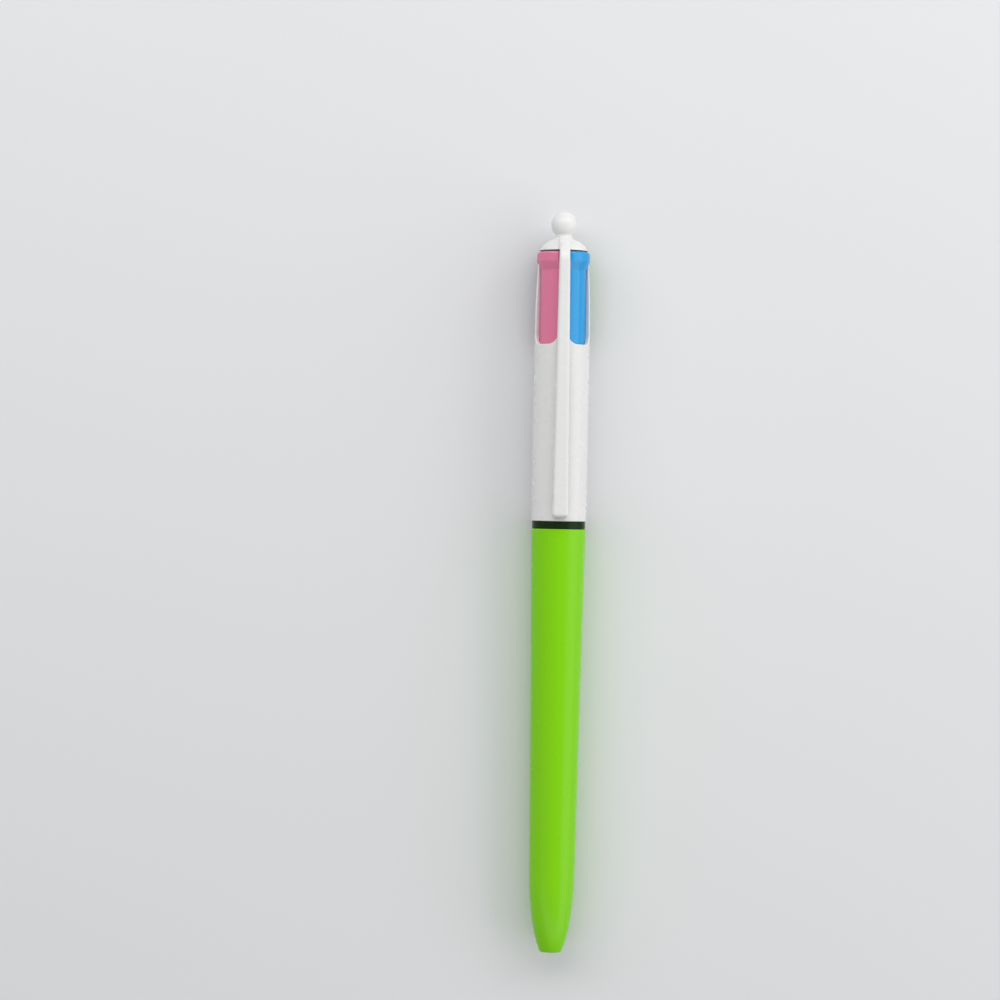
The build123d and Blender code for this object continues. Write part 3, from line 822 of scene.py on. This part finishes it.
class PEN_OT_springs(Operator):
    """Wind the four return springs, with closed end turns"""

    bl_idname = "click_pen.springs"
    bl_label = "Return Springs"
    bl_options = {"REGISTER", "UNDO"}

    def execute(self, context):
        settings = context.scene.click_pen_spring
        offset = context.scene.click_pen_refill.offset
        steel = drawn_metal("spring_steel", context.scene.click_pen_colours.steel, 0.24, 3000.0)
        for colour in PLACES:
            node = f"{colour}_return_spring"
            low, high = (corner.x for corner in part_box(node))
            seat = Vector((low, 0.0, AXIS_HEIGHT)) + outward(colour) * offset
            spring = new_piece(f"{colour}_spring", wind_spring(settings, colour, seat, high - low))
            stand_for(spring, node, "barrel", steel)
            1 - press_travel(colour) / (high - low)
            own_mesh(spring)
        return {"FINISHED"}


def wind_spring(settings, colour, seat, length):
    """Spring whose end turns close up, so that it sits flat at both ends."""
    out = outward(colour)
    side = ALONG.cross(out)
    wire, closed, free = settings.wire, settings.closed_turns, settings.free_turns
    climb = length - wire
    close_climb = closed * wire * 1.02
    total = free + 2 * closed
    steps = round(total * COIL_STEPS)
    line = []
    for step in range(steps + 1):
        turn = total * step / steps
        if turn < closed:
            along = turn / closed * close_climb
        elif turn > total - closed:
            along = climb - (total - turn) / closed * close_climb
        else:
            along = close_climb + (turn - closed) / free * (climb - 2 * close_climb)
        spread = out * math.cos(2 * math.pi * turn) + side * math.sin(2 * math.pi * turn)
        line.append((seat + ALONG * (wire / 2 + along) + spread * settings.coil, spread))
    rings = []
    for step, (centre, spread) in enumerate(line):
        heading = line[min(steps, step + 1)][0] - line[max(0, step - 1)][0]
        across = heading.cross(spread).normalized()
        rings.append(ring_points(centre, spread, across, wire / 2, 12))
    return skin_over(rings)


# ---------------------------------------------------------------- stage
class PEN_OT_stage(Operator):
    """Set the floor, lamps and camera"""

    bl_idname = "click_pen.stage"
    bl_label = "Studio Stage"
    bl_options = {"REGISTER", "UNDO"}

    def execute(self, context):
        stage = context.scene.click_pen_stage
        lay_floor(context.scene.click_pen_colours.floor)
        light_air(stage.air, stage.backdrop)
        add_softbox("head_softbox", (0.42, 0.05, 0.42), (1.6, 0.4), stage.head_lamp)
        add_softbox("nose_softbox", (-0.35, 0.05, 0.48), (1.6, 0.16), stage.nose_lamp)
        add_softbox("side_softbox", (0.0, -0.5, 0.24), (0.8, 0.46), stage.side_lamp)
        place_camera(stage)
        context.scene.view_settings.view_transform = "Standard"
        return {"FINISHED"}


def lay_floor(colour):
    """Plain pale floor under the pen, very slightly mottled."""
    sheet = bmesh.new()
    bmesh.ops.create_grid(sheet, x_segments=24, y_segments=24, size=1.6)
    floor = new_piece("studio_floor", sheet)
    material, finish = new_material("studio_floor_paint")
    place = finish.where()
    cloud = finish.noise(place, 14.0)
    distance = finish.add("ShaderNodeVectorMath", {"operation": "LENGTH"}, {0: place}, output="Value")
    finish.surface({
        "Base Color": finish.blend(cloud, shade(colour, 0.985), colour),
        "Roughness": 0.75,
        "Specular IOR Level": 0.2,
        "Alpha": 1 - finish.rise(distance, 0.3, 0.65),
    })
    floor.data.materials.append(material)


def light_air(strength, backdrop):
    """Even light from all round; what looks out past the floor sees a pale backdrop."""
    world = bpy.data.worlds.new("studio_air")
    finish = Finish(world)
    rays = [finish.add("ShaderNodeLightPath", output=kind)
            for kind in ("Is Camera Ray", "Is Glossy Ray", "Is Transmission Ray")]
    seen = finish.rise(rays[0] + rays[1] + rays[2], 0.0, 1.0)
    light = finish.add("ShaderNodeBackground", inputs={
        "Color": (1.0, 1.0, 1.0, 1.0),
        "Strength": strength + seen * (backdrop - strength),
    })
    output = finish.tree.nodes.new("ShaderNodeOutputWorld")
    finish.tree.links.new(light.socket, output.inputs["Surface"])
    bpy.context.scene.world = world


def add_softbox(name, place, size, brightness):
    """Rectangular soft lamp that faces the pen; its power follows from its size and brightness."""
    light = bpy.data.lights.new(name, "AREA")
    light.shape = "RECTANGLE"
    light.size, light.size_y = size
    light.energy = SOFTBOX_POWER * size[0] * size[1] * brightness
    lamp = bpy.data.objects.new(name, light)
    bpy.context.scene.collection.objects.link(lamp)
    lamp.location = Vector(place) + UP * AXIS_HEIGHT
    lamp.rotation_mode = "QUATERNION"
    lamp.rotation_quaternion = (-Vector(place)).to_track_quat("-Z", "Y")


def place_camera(stage):
    """Camera above the pen, turned so that the ball end points up in the picture."""
    lens = bpy.data.cameras.new("studio_camera")
    lens.sensor_width = 36.0
    lens.lens = lens.sensor_width * stage.distance / stage.view_width
    lens.clip_start, lens.clip_end = 0.01, 10.0
    camera = bpy.data.objects.new("studio_camera", lens)
    bpy.context.scene.collection.objects.link(camera)
    lean, level = math.sin(stage.turn), math.cos(stage.turn)
    straight = Matrix(((lean, -level, 0.0), (level, lean, 0.0), (0.0, 0.0, 1.0))).transposed()
    roll = Matrix.Rotation(-stage.roll, 3, "X")
    camera.rotation_mode = "QUATERNION"
    camera.rotation_quaternion = (roll @ straight).to_quaternion()
    offset = Vector((stage.offset_along, stage.offset_across, stage.distance))
    camera.location = roll @ offset + UP * AXIS_HEIGHT
    bpy.context.scene.camera = camera


# ---------------------------------------------------------------- panel and run
class VIEW3D_PT_click_pen(Panel):
    """Sizes, colours and buttons of the pen"""

    bl_idname = "VIEW3D_PT_click_pen"
    bl_label = "Click Pen"
    bl_space_type = "VIEW_3D"
    bl_region_type = "UI"
    bl_category = "Click Pen"

    def draw(self, context):
        for name, group in SETTINGS.items():
            box = self.layout.box()
            box.label(text=group.__doc__)
            for field in group.__annotations__:
                box.prop(getattr(context.scene, name), field)
        for operator in STEPS:
            self.layout.operator(operator.bl_idname)


SETTINGS = {
    "click_pen_barrel": PenBarrelSettings,
    "click_pen_clip": PenClipSettings,
    "click_pen_refill": PenRefillSettings,
    "click_pen_spring": PenSpringSettings,
    "click_pen_colours": PenColourSettings,
    "click_pen_stage": PenStageSettings,
}
STEPS = (
    PEN_OT_moulded_pieces, PEN_OT_grip_barrel, PEN_OT_dark_ring,
    PEN_OT_refills, PEN_OT_springs, PEN_OT_stage,
)


def register():
    for group in (*SETTINGS.values(), *STEPS, VIEW3D_PT_click_pen):
        bpy.utils.register_class(group)
    for name, group in SETTINGS.items():
        setattr(bpy.types.Scene, name, PointerProperty(type=group))


def unregister():
    for name in SETTINGS:
        delattr(bpy.types.Scene, name)
    for group in reversed((*SETTINGS.values(), *STEPS, VIEW3D_PT_click_pen)):
        bpy.utils.unregister_class(group)


def main():
    register()
    for step in STEPS:
        family, name = step.bl_idname.split(".")
        getattr(getattr(bpy.ops, family), name)()


if __name__ == "__main__":
    main()
